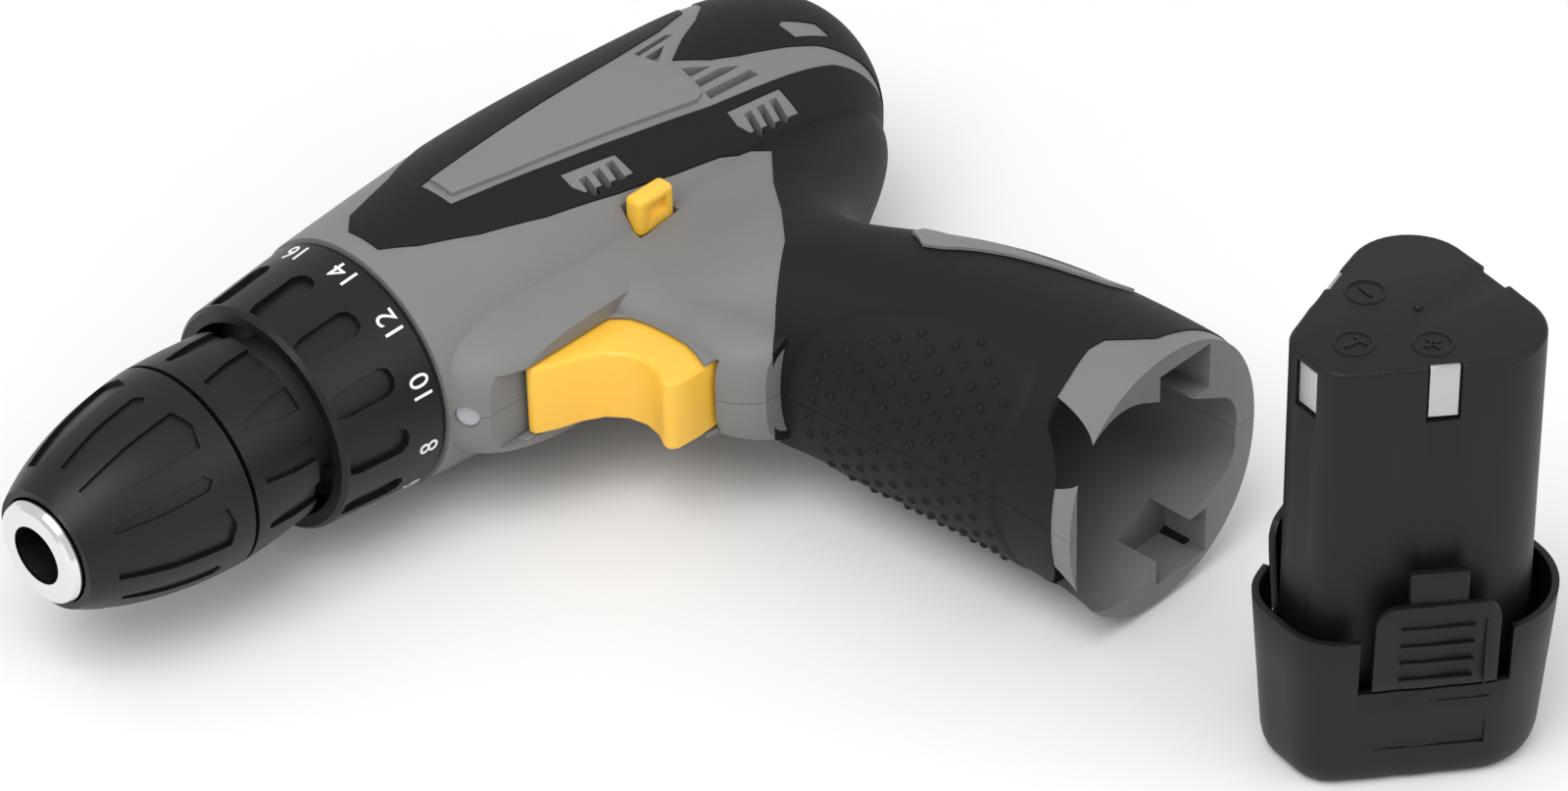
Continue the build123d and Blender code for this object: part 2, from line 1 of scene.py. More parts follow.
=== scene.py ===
"""Looks of a compact cordless drill lying on its right side, its battery pack standing beside the grip."""
import json
import logging
import math
from dataclasses import dataclass, field
from enum import Enum

import bpy
from mathutils import Matrix, Quaternion, Vector


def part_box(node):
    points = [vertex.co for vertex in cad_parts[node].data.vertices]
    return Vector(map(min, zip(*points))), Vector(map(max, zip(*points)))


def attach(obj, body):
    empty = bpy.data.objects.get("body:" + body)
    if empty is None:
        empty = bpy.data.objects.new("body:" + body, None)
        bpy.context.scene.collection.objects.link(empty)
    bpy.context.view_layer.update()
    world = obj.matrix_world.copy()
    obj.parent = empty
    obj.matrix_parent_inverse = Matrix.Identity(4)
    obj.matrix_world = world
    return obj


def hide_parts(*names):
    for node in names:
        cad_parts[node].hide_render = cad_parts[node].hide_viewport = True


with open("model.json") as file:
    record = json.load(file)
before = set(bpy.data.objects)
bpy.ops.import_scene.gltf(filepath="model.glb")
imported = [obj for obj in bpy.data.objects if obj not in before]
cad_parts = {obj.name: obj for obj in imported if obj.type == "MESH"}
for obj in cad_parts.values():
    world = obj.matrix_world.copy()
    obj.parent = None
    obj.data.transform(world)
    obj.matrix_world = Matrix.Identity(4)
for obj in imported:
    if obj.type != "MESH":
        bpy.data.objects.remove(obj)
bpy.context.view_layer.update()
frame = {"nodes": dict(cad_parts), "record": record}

LOG = logging.getLogger("drill_looks")
MM = 0.001
COLLAR_GAP = 0.35                # torque collar to the housing's front edge, millimetres

Point = tuple[float, float, float]
Outline = list[tuple[float, float]]
Colour = tuple[float, float, float]


# ---- places ------------------------------------------------------------------------------------
def barrel_place() -> Matrix:
    """Millimetres from the housing's front edge, on the barrel axis, to the row frame."""
    low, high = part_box("torque_collar")
    origin = Vector((high.x + COLLAR_GAP * MM, (low.y + high.y) / 2, (low.z + high.z) / 2))
    return Matrix.Translation(origin) @ Matrix.Scale(MM, 4)


def pack_place() -> Matrix:
    """Millimetres from the middle of the pack's foot, narrow corner towards +X, to the row frame."""
    foot = next(m for m in frame["record"]["mounts"] if m["name"] == "battery_foot")
    turn = Matrix.Rotation(math.radians(Pack.turn), 4, "Z")
    return Matrix.Translation(Vector(foot["pos_m"])) @ turn @ Matrix.Scale(MM, 4)


# ---- modelling ---------------------------------------------------------------------------------
def deselect() -> None:
    """Leave edit mode and select nothing."""
    if bpy.context.object and bpy.context.object.mode != "OBJECT":
        bpy.ops.object.mode_set(mode="OBJECT")
    bpy.ops.object.select_all(action="DESELECT")


def pick(piece: bpy.types.Object) -> None:
    """Make one piece the selected and active object."""
    deselect()
    piece.select_set(True)
    bpy.context.view_layer.objects.active = piece


def modify(piece: bpy.types.Object, kind: str, **settings: object) -> bpy.types.Object:
    """Add a modifier, set it up and apply it.

    Args:
        piece: the mesh object to change.
        kind: Blender's name of the modifier type.
        settings: the modifier's own properties.

    Returns:
        The same piece.
    """
    pick(piece)
    bpy.ops.object.modifier_add(type=kind)
    modifier = piece.modifiers[-1]
    for key, value in settings.items():
        setattr(modifier, key, value)
    bpy.ops.object.modifier_apply(modifier=modifier.name)
    return piece


def soften(piece: bpy.types.Object, width: float, segments: int = 3, angle: float = 35.0) -> bpy.types.Object:
    """Round every edge sharper than an angle, in the piece's own units."""
    return modify(piece, "BEVEL", width=width, segments=segments, limit_method="ANGLE",
                  angle_limit=math.radians(angle), use_clamp_overlap=True)


def fix_normals(piece: bpy.types.Object, merge: float = 1e-5) -> bpy.types.Object:
    """Merge doubled points and turn every face outwards."""
    pick(piece)
    bpy.ops.object.mode_set(mode="EDIT")
    bpy.ops.mesh.select_all(action="SELECT")
    bpy.ops.mesh.remove_doubles(threshold=merge)
    bpy.ops.mesh.normals_make_consistent(inside=False)
    bpy.ops.object.mode_set(mode="OBJECT")
    return piece


def prism(outline: Outline, low: float, high: float) -> bpy.types.Object:
    """Closed prism along Z.

    Args:
        outline: corner points, in order.
        low: height of its lower face.
        high: height of its upper face.

    Returns:
        The new mesh object.
    """
    deselect()
    bpy.ops.mesh.primitive_circle_add(vertices=len(outline), radius=1.0, fill_type="NGON")
    piece = bpy.context.object
    for vertex, (x, y) in zip(piece.data.vertices, outline):
        vertex.co = (x, y, low)
    bpy.ops.object.mode_set(mode="EDIT")
    bpy.ops.mesh.select_all(action="SELECT")
    bpy.ops.mesh.extrude_region_move(TRANSFORM_OT_translate={"value": (0, 0, high - low)})
    bpy.ops.object.mode_set(mode="OBJECT")
    return fix_normals(piece)


def box(low: Point, high: Point, edge: float = 0.0) -> bpy.types.Object:
    """Box between two corners, with rounded edges if asked."""
    deselect()
    middle = [(a + b) / 2 for a, b in zip(low, high)]
    bpy.ops.mesh.primitive_cube_add(size=1.0, location=middle, scale=[b - a for a, b in zip(low, high)])
    piece = bpy.context.object
    bpy.ops.object.transform_apply(location=True, rotation=True, scale=True)
    return soften(piece, edge) if edge else piece


def carve(piece: bpy.types.Object, cutter: bpy.types.Object, keep: str = "DIFFERENCE") -> bpy.types.Object:
    """Cut one piece with another, which is used up."""
    modify(piece, "BOOLEAN", operation=keep, object=cutter, solver="EXACT")
    bpy.data.objects.remove(cutter)
    return piece


def merge(pieces: list[bpy.types.Object]) -> bpy.types.Object:
    """Join several meshes into the first."""
    pick(pieces[0])
    for other in pieces[1:]:
        other.select_set(True)
    bpy.ops.object.join()
    return bpy.context.object


def smooth_loop(points: Outline, count: int) -> Outline:
    """Evenly spread points on a closed smooth curve through a few corner points."""
    total = len(points)
    result = []
    for i in range(count):
        at = i * total / count
        k, t = int(at), at - int(at)
        p = [points[(k + j - 1) % total] for j in range(4)]
        weights = (-t + 2 * t ** 2 - t ** 3, 2 - 5 * t ** 2 + 3 * t ** 3,
                   t + 4 * t ** 2 - 3 * t ** 3, t ** 3 - t ** 2)
        result.append(tuple(sum(w * q[axis] for w, q in zip(weights, p)) / 2 for axis in (0, 1)))
    return result


# ---- finishes ----------------------------------------------------------------------------------
class Texture(Enum):
    """How a surface's fine relief runs."""

    GRAIN = "grain"
    TURNED = "turned"
    BRUSHED = "brushed"


@dataclass(frozen=True)
class Finish:
    """A procedural material of one kind of surface."""

    name: str
    colour: Colour
    roughness: float
    mottle: float = 0.06             # how far the colour wanders either side
    grain: float = 4500.0            # relief detail per metre
    depth: float = 0.03              # strength of the relief
    metallic: float = 0.0
    specular: float = 0.5
    coat: float = 0.0
    clear: float = 0.0
    texture: Texture = Texture.GRAIN

    def build(self) -> bpy.types.Material:
        """Make the material once, and return it each time after."""
        found = bpy.data.materials.get(self.name)
        if found:
            return found
        material = bpy.data.materials.new(self.name)
        material.use_nodes = True
        nodes, links = material.node_tree.nodes, material.node_tree.links
        shader = next(n for n in nodes if n.type == "BSDF_PRINCIPLED")
        shader.inputs["Metallic"].default_value = self.metallic
        shader.inputs["Specular IOR Level"].default_value = self.specular
        shader.inputs["Coat Weight"].default_value = self.coat
        shader.inputs["Coat Roughness"].default_value = 0.12
        shader.inputs["Transmission Weight"].default_value = self.clear

        place = nodes.new("ShaderNodeTexCoord")
        mapping = nodes.new("ShaderNodeMapping")
        stretch = {Texture.GRAIN: (1, 1, 1), Texture.TURNED: (1, 0.02, 0.02), Texture.BRUSHED: (0.02, 1, 1)}
        mapping.inputs["Scale"].default_value = stretch[self.texture]
        links.new(place.outputs["Object"], mapping.inputs["Vector"])

        broad = nodes.new("ShaderNodeTexNoise")
        broad.inputs["Scale"].default_value = 90.0
        broad.inputs["Detail"].default_value = 5.0
        links.new(place.outputs["Object"], broad.inputs["Vector"])
        shade = nodes.new("ShaderNodeMix")
        shade.data_type = "RGBA"
        shade.inputs["A"].default_value = (*[c * (1 - self.mottle) for c in self.colour], 1)
        shade.inputs["B"].default_value = (*[min(1, c * (1 + self.mottle)) for c in self.colour], 1)
        links.new(broad.outputs["Fac"], shade.inputs["Factor"])
        links.new(shade.outputs["Result"], shader.inputs["Base Color"])

        gloss = nodes.new("ShaderNodeMapRange")
        gloss.inputs["To Min"].default_value = max(0.02, self.roughness - 0.07)
        gloss.inputs["To Max"].default_value = min(1.0, self.roughness + 0.07)
        links.new(broad.outputs["Fac"], gloss.inputs["Value"])
        links.new(gloss.outputs["Result"], shader.inputs["Roughness"])

        fine = nodes.new("ShaderNodeTexNoise")
        fine.inputs["Scale"].default_value = self.grain
        fine.inputs["Detail"].default_value = 3.0
        links.new(mapping.outputs["Vector"], fine.inputs["Vector"])
        relief = nodes.new("ShaderNodeBump")
        relief.inputs["Strength"].default_value = self.depth
        relief.inputs["Distance"].default_value = 0.0002
        links.new(fine.outputs["Fac"], relief.inputs["Height"])
        links.new(relief.outputs["Normal"], shader.inputs["Normal"])
        return material


GREY = Finish("grey_nylon", (0.19, 0.19, 0.188), 0.5, depth=0.22, specular=0.35)
SKIN = Finish("soft_rubber_skin", (0.0075, 0.0075, 0.0075), 0.58, depth=0.3, grain=6000, specular=0.22)
BLACK = Finish("black_nylon", (0.007, 0.007, 0.0072), 0.4, depth=0.18, specular=0.3)
PACK = Finish("pack_shell", (0.0065, 0.0065, 0.0068), 0.45, depth=0.2, specular=0.28)
YELLOW = Finish("yellow_acetal", (0.93, 0.53, 0.055), 0.36, mottle=0.03, depth=0.06, specular=0.4, coat=0.15)
INK = Finish("white_print", (0.82, 0.82, 0.8), 0.5, mottle=0.04, depth=0.1)
CHROME = Finish("polished_ring", (0.78, 0.77, 0.78), 0.16, metallic=1.0, depth=0.05, texture=Texture.TURNED)
STEEL = Finish("machined_steel", (0.5, 0.5, 0.51), 0.32, metallic=1.0, depth=0.25, texture=Texture.TURNED)
DARK_STEEL = Finish("black_steel", (0.07, 0.07, 0.075), 0.36, metallic=0.9, depth=0.25,
                    texture=Texture.TURNED)
NICKEL = Finish("nickel_strip", (0.5, 0.5, 0.49), 0.34, metallic=1.0, depth=0.2, texture=Texture.BRUSHED)
ZINC = Finish("zinc_plate", (0.5, 0.51, 0.53), 0.4, metallic=1.0, depth=0.2)
FERRITE = Finish("ferrite", (0.05, 0.05, 0.052), 0.7, depth=0.5)
CARBON = Finish("carbon_brush", (0.035, 0.03, 0.028), 0.6, depth=0.4)
BRONZE = Finish("sintered_bronze", (0.42, 0.27, 0.12), 0.45, metallic=1.0, depth=0.4)
WRAP = Finish("cell_wrap", (0.03, 0.12, 0.35), 0.35, depth=0.1, coat=0.3)
GEAR_CASE = Finish("glass_filled_nylon", (0.05, 0.05, 0.052), 0.55, depth=0.35)
LENS = Finish("lamp_lens", (0.1, 0.1, 0.11), 0.12, depth=0.02, clear=0.6, specular=0.5)

SLOT_FINISH = {"steel": STEEL, "spring_steel": STEEL, "polished_steel": CHROME, "dark_steel": DARK_STEEL,
               "black_plastic": BLACK, "battery_plastic": PACK, "nickel": NICKEL, "cell_wrap": WRAP,
               "soft_rubber": SKIN, "grey_plastic": GREY, "yellow_plastic": YELLOW, "lamp_lens": LENS,
               "gear_case_nylon": GEAR_CASE, "zinc_steel": ZINC, "ferrite": FERRITE, "carbon": CARBON,
               "bronze": BRONZE}


def dress_cad() -> None:
    """Give every carried-over CAD node the finish of its material slot."""
    for part in frame["record"]["subparts"]:
        node = frame["nodes"][part["node"]]
        node.data.materials.clear()
        node.data.materials.append(SLOT_FINISH[part["material_slot"]].build())


def settle(piece: bpy.types.Object, name: str, body: str, finish: Finish, place: Matrix,
           smooth: float = 32.0, stands_for: tuple[str, ...] = ()) -> bpy.types.Object:
    """Put a finished mesh in the row frame and let it ride.

    Args:
        piece: the mesh, modelled in millimetres in its own frame.
        name: the piece's final name.
        body: the CAD body that carries it.
        finish: its surface.
        place: from its own frame to the row frame.
        smooth: faces that meet under this angle are shaded as one.
        stands_for: CAD nodes that it replaces.

    Returns:
        The same piece.
    """
    pick(piece)
    piece.matrix_world = place @ piece.matrix_world
    bpy.ops.object.transform_apply(location=True, rotation=True, scale=True)
    bpy.ops.object.shade_smooth_by_angle(angle=math.radians(smooth))
    piece.name = name
    piece.data.name = name
    piece.data.materials.clear()
    piece.data.materials.append(finish.build())
    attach(piece, body)
    if stands_for:
        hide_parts(*stands_for)
    LOG.info("%s: %d faces", name, len(piece.data.polygons))
    return piece


# ---- torque collar -----------------------------------------------------------------------------
@dataclass
class Collar:
    """Numerals round the rear band of the torque collar."""

    labels: tuple[str, ...] = ("16", "14", "12", "10", "8", "6", "4", "2", "1")
    first_angle: float = 69.0        # of the highest number, from +Y towards +Z
    step: float = 30.6
    middle_x: float = -3.7
    height: float = 5.1
    proud: float = 0.1

    def radius(self, x: float) -> float:
        """Outside of the collar's rear band."""
        return 20.9 + (x + 10) * 0.0909

    def numeral(self, label: str, angle: float) -> bpy.types.Object:
        """One number, wrapped round the collar with its top towards the chuck."""
        deselect()
        bpy.ops.object.text_add(location=(0, 0, 0))
        text = bpy.context.object
        text.data.body = label
        text.data.size = self.height
        text.data.extrude = self.proud
        text.data.align_x = "CENTER"
        text.data.align_y = "CENTER"
        bpy.ops.object.convert(target="MESH")
        piece = bpy.context.object
        bpy.ops.object.mode_set(mode="EDIT")
        bpy.ops.mesh.select_all(action="SELECT")
        bpy.ops.mesh.quads_convert_to_tris()
        bpy.ops.mesh.subdivide(number_cuts=3)
        bpy.ops.object.mode_set(mode="OBJECT")
        for vertex in piece.data.vertices:
            u, v, w = vertex.co
            x = self.middle_x - v
            theta = math.radians(angle) - u / self.radius(x)
            r = self.radius(x) + w
            vertex.co = (x, r * math.cos(theta), r * math.sin(theta))
        return fix_normals(piece)

    def build(self) -> None:
        """All the numbers."""
        for index, label in enumerate(self.labels):
            piece = self.numeral(label, self.first_angle + index * self.step)
            settle(piece, f"collar_number_{label}", "collar", INK, barrel_place())


# ---- grip pads ---------------------------------------------------------------------------------
@dataclass
class GripPads:
    """Raised pad with dots that wraps round the front of the grip, one half on each shell."""

    # (angle from the side towards the front, height) of the edge, from the top round to the foot
    edge: tuple[tuple[float, float], ...] = (
        (72.6, -58.2), (51.6, -61.2), (39.0, -65.7), (31.0, -72.0), (25.0, -79.5), (22.5, -87.0),
        (22.9, -95.5),
        (29.5, -100.4), (39.0, -102.0), (50.0, -102.5), (64.0, -102.0), (79.5, -100.9))
    centre: tuple[float, float] = (90.0, -80.0)
    axis: tuple[tuple[float, float], ...] = ((-46.0, 55.3), (-72.0, 62.2), (-86.0, 64.3), (-120.0, 65.0))
    rise: float = 0.5
    parting: float = 0.06            # half the gap between the two half pads
    start_out: float = 60.0          # where the search for the surface starts, out from the grip's middle
    spare_radius: float = 22.0       # used where the search finds no surface
    dot_radius: float = 0.85
    dot_pitch: tuple[float, float] = (11.5, 3.3)
    rows: int = 44
    # height, then the angles between which the strip behind the grip lies
    inlay_rows: tuple[Point, ...] = (
        (-62.6, -15.0, -23.0), (-64.2, -12.0, -22.5), (-67.0, -5.0, -20.5), (-70.2, -6.4, -21.5),
        (-74.4, -12.3, -24.0), (-79.3, -16.6, -24.5), (-84.7, -19.3, -24.8), (-90.2, -22.5, -27.0),
        (-95.7, -26.5, -30.5), (-98.4, -33.0, -34.0))

    def axis_x(self, y: float) -> float:
        """Where the grip's middle line is at one height."""
        for (y0, x0), (y1, x1) in zip(self.axis, self.axis[1:]):
            if y >= y1:
                return x0 + (x1 - x0) * (y0 - y) / (y0 - y1)
        return self.axis[-1][1]

    def surface(self, angle: float, y: float, side: int) -> tuple[Vector, Vector]:
        """Point and outward direction on the overmould, in millimetres from the barrel origin."""
        place = barrel_place()
        if abs(angle - 90) < 1.2:
            angle = 91.2         # clear of the parting line
        turn = math.radians(angle)
        out = Vector((-math.sin(turn), 0, side * math.cos(turn)))
        start = place @ (Vector((self.axis_x(y), y, 0)) + out * self.start_out)
        best = None
        for node in ("grip_overmould_left", "grip_overmould_right", "housing_left", "housing_right"):
            hit, spot, _, _ = frame["nodes"][node].ray_cast(start, -out, distance=0.05)
            if hit and (best is None or (spot - start).length < (best - start).length):
                best = spot
        if best is None:
            best = place @ (Vector((self.axis_x(y), y, 0)) + out * self.spare_radius)
        return place.inverted() @ best, out

    def loop(self) -> Outline:
        """The whole edge of both halves, closed."""
        mirrored = [(180 - a, y) for a, y in reversed(self.edge)]
        return smooth_loop([*self.edge, *mirrored], 180)

    def spot(self, a: float, b: float, loop: Outline) -> tuple[float, float]:
        """Angle and height of a point of the unit square spread over the pad."""
        if abs(a) < 1e-9 and abs(b) < 1e-9:
            return self.centre
        if abs(a) > abs(b):
            r, turn = a, math.pi / 4 * b / a
        else:
            r, turn = b, math.pi / 2 - math.pi / 4 * a / b
        if r < 0:
            r, turn = -r, turn + math.pi
        index = (turn / (2 * math.pi) * len(loop)) % len(loop)
        k, t = int(index), index - int(index)
        p, q = loop[k % len(loop)], loop[(k + 1) % len(loop)]
        rim = [p[i] + (q[i] - p[i]) * t for i in (0, 1)]
        return tuple(self.centre[i] + (rim[i] - self.centre[i]) * r for i in (0, 1))

    def pad(self, side: int) -> bpy.types.Object:
        """The half pad of one side, a thin cushion that follows the grip."""
        deselect()
        bpy.ops.mesh.primitive_grid_add(x_subdivisions=self.rows, y_subdivisions=self.rows, size=2.0)
        piece = bpy.context.object
        loop = self.loop()
        for vertex in piece.data.vertices:
            a, b = vertex.co.x, vertex.co.y
            angle, y = self.spot(a, b, loop)
            point, out = self.surface(angle, y, 1)
            reach = max(abs(a), abs(b))
            lift = self.rise * (1 - max(0.0, (reach - 0.93) / 0.07) ** 2) - 0.1
            vertex.co = point + out * lift
        modify(piece, "SOLIDIFY", thickness=0.5, offset=1.0)
        bpy.ops.object.mode_set(mode="EDIT")
        bpy.ops.mesh.select_all(action="SELECT")
        bpy.ops.mesh.bisect(plane_co=(0, 0, side * self.parting), plane_no=(0, 0, side),
                            clear_inner=True, use_fill=True)
        bpy.ops.object.mode_set(mode="OBJECT")
        return fix_normals(piece)

    def dots(self, side: int) -> bpy.types.Object:
        """Rows of low round dots on one half of the pad."""
        loop = self.loop()
        made = []
        for row in range(-7, 8):
            for column in range(-8, 9):
                shift = 0.5 if row % 2 else 0.0
                angle = self.centre[0] + (column + shift) * self.dot_pitch[0]
                y = self.centre[1] + row * self.dot_pitch[1] + 0.05 * (angle - 90)
                if not self.inside(angle, y, loop) or side * (90 - angle) < 4:
                    continue
                point, out = self.surface(angle, y, 1)
                deselect()
                bpy.ops.mesh.primitive_ico_sphere_add(subdivisions=2, radius=self.dot_radius,
                                                      location=point + out * (self.rise - 0.4))
                made.append(bpy.context.object)
        return merge(made)

    def inside(self, angle: float, y: float, loop: Outline) -> bool:
        """Whether a dot would stand well inside the edge."""
        scale = 1.17
        x0, y0 = self.centre
        px, py = x0 + (angle - x0) * scale, y0 + (y - y0) * scale
        within = False
        for (ax, ay), (bx, by) in zip(loop, loop[1:] + loop[:1]):
            if (ay > py) != (by > py) and px < (bx - ax) * (py - ay) / (by - ay) + ax:
                within = not within
        return within

    def inlay(self, side: int) -> bpy.types.Object:
        """Narrow tapering strip of the hard shell that shows behind the soft grip."""
        deselect()
        columns = len(self.inlay_rows) * 4
        bpy.ops.mesh.primitive_grid_add(x_subdivisions=columns, y_subdivisions=6, size=1.0)
        piece = bpy.context.object
        last = len(self.inlay_rows) - 1
        for vertex in piece.data.vertices:
            along, across = (vertex.co.x + 0.5) * last, vertex.co.y + 0.5
            k = min(int(along), last - 1)
            row = [a + (b - a) * (along - k) for a, b in zip(self.inlay_rows[k], self.inlay_rows[k + 1])]
            angle = row[1] + (row[2] - row[1]) * across
            point, out = self.surface(angle if side > 0 else 180 - angle, row[0], 1)
            vertex.co = point + out * 0.14
        return fix_normals(modify(piece, "SOLIDIFY", thickness=0.5, offset=-1.0 if side < 0 else 1.0))

    def build(self) -> None:
        """Pads and dots of both sides."""
        for side, label in ((1, "left"), (-1, "right")):
            place = barrel_place()
            settle(self.pad(side), f"grip_pad_{label}", "drill", SKIN, place, smooth=50)
            settle(self.dots(side), f"grip_dots_{label}", "drill", SKIN, place, smooth=60)
            settle(self.inlay(side), f"grip_inlay_{label}", "drill", GREY, place, smooth=50)



# ---- controls ----------------------------------------------------------------------------------
@dataclass
class Controls:
    """Trigger and direction selector, with moulded round edges."""

    trigger_edge: Outline = field(default_factory=lambda: [
        (11.4, -27.7), (11.5, -29.4), (15.0, -31.2), (19.0, -32.6), (22.4, -34.6), (24.6, -37.6),
        (25.3, -41.0), (24.6, -44.4), (23.1, -47.0), (23.0, -48.3), (24.4, -49.2), (28.0, -49.5),
        (36.0, -49.4), (39.9, -44.0), (39.9, -27.7)])
    trigger_half: float = 6.65
    cheek_edge: Outline = field(default_factory=lambda: [
        (9.4, -27.2), (10.4, -29.0), (15.4, -28.5), (21.6, -28.1), (26.0, -28.1), (29.4, -29.3),
        (31.4, -31.6), (32.4, -34.8), (32.8, -38.6), (32.5, -43.2), (31.5, -46.6), (30.2, -49.6),
        (38.5, -50.6), (44.0, -46.0), (46.0, -36.0), (44.0, -26.5), (30.0, -26.0)])
    blade: tuple[Point, Point] = ((43.85, -22.15, 11.1), (52.15, -18.45, 18.55))
    blade_recess: tuple[Point, Point] = ((46.2, -23.5, 14.4), (50.0, -21.2, 16.9))

    def trigger(self) -> bpy.types.Object:
        """Finger piece and the plunger behind it."""
        piece = soften(prism(self.trigger_edge, -self.trigger_half, self.trigger_half), 1.25, 5, 40)
        deselect()
        bpy.ops.mesh.primitive_cylinder_add(vertices=32, radius=2.45, depth=10.0, location=(45.0, -36.0, 0.0),
                                            rotation=(0, math.pi / 2, 0))
        plunger = bpy.context.object
        bpy.ops.object.transform_apply(location=True, rotation=True, scale=True)
        return merge([piece, plunger])

    def cheek(self, side: int) -> bpy.types.Object:
        """Arched lip of the housing beside the trigger."""
        low, high = sorted((side * 6.78, side * 7.55))
        return soften(prism(self.cheek_edge, low, high), 0.25, 3, 40)

    def selector(self) -> bpy.types.Object:
        """Cross bar with a blade at each end."""
        blades = [box((46.0, -21.85, -6.8), (50.5, -19.05, 11.2), 0.3)]
        low, high = self.blade
        for sign in (1, -1):
            heights = sorted((sign * (low[2] - 2.2) + 2.2, sign * (high[2] - 2.2) + 2.2))
            blade = box((low[0], low[1], heights[0]), (high[0], high[1], heights[1]))
            soften(blade, 1.15, 5)
            r_low, r_high = self.blade_recess
            cuts = sorted((sign * (r_low[2] - 2.2) + 2.2, sign * (r_high[2] - 2.2) + 2.2))
            carve(blade, box((r_low[0], r_low[1], cuts[0]), (r_high[0], r_high[1], cuts[1]), 0.4))
            soften(blade, 0.18, 2, 50)
            blades.append(blade)
        return merge(blades)

    def build(self) -> None:
        """Both controls, and the lips beside the trigger."""
        for side, label in ((1, "left"), (-1, "right")):
            settle(self.cheek(side), f"trigger_lip_{label}", "drill", GREY, barrel_place())
        settle(self.trigger(), "trigger_moulding", "trigger_body", YELLOW, barrel_place(),
               stands_for=("trigger",))
        settle(self.selector(), "selector_moulding", "selector", YELLOW, barrel_place(),
               stands_for=("direction_selector",))


